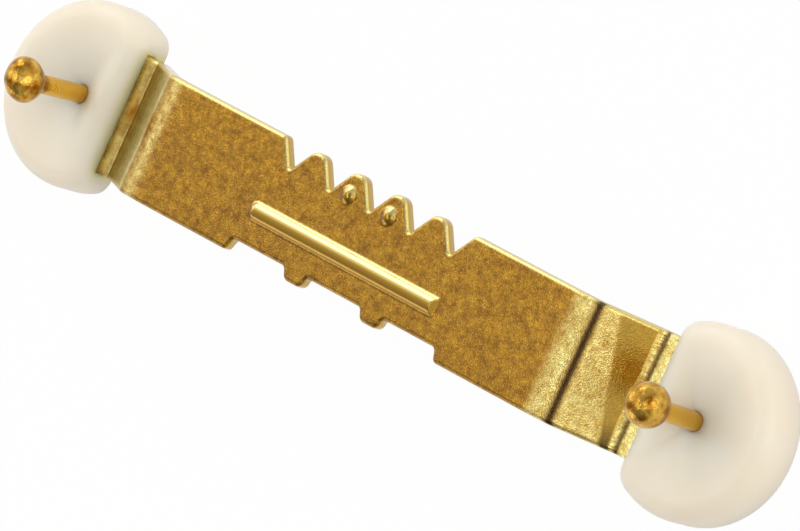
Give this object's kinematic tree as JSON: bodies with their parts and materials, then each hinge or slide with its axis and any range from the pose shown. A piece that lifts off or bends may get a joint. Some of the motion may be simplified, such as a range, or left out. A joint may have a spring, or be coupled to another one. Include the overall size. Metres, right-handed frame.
{
  "type": "sawtooth picture hanger",
  "caption": "Raised brass-plated strap with a notched edge to hang on a wall nail, its feet held in D-shaped nylon bumpers with ball-headed nails to drive.",
  "frame": {"origin": "midway between the two nails, on the plane of the bumpers' undersides, which lies on the back of the picture frame", "axes": "+X along the strap, +Y towards the toothed edge, +Z away from the picture frame"},
  "size_m": [0.0636, 0.012, 0.0097],
  "materials": {
    "brass_plating": "bright brass plating over stamped steel, fine granular texture on the flats, smoother where it was bent",
    "nylon": "moulded natural nylon, warm white, slightly translucent, satin",
    "nail_brass": "polished brass, lightly scratched"
  },
  "bodies": {
    "hanger": {"hanger_strap": "brass_plating", "left_bumper": "nylon", "right_bumper": "nylon"},
    "left_nail": {"left_nail": "nail_brass"},
    "right_nail": {"right_nail": "nail_brass"}
  },
  "joints": [
    {"name": "left_nail_drive", "type": "slide", "parent": "hanger", "child": "left_nail", "axis": [0, 0.0349, -0.9994], "range_m": [0, 0.0043]},
    {"name": "right_nail_drive", "type": "slide", "parent": "hanger", "child": "right_nail", "axis": [0, -0.0349, -0.9994], "range_m": [0, 0.0038]}
  ]
}
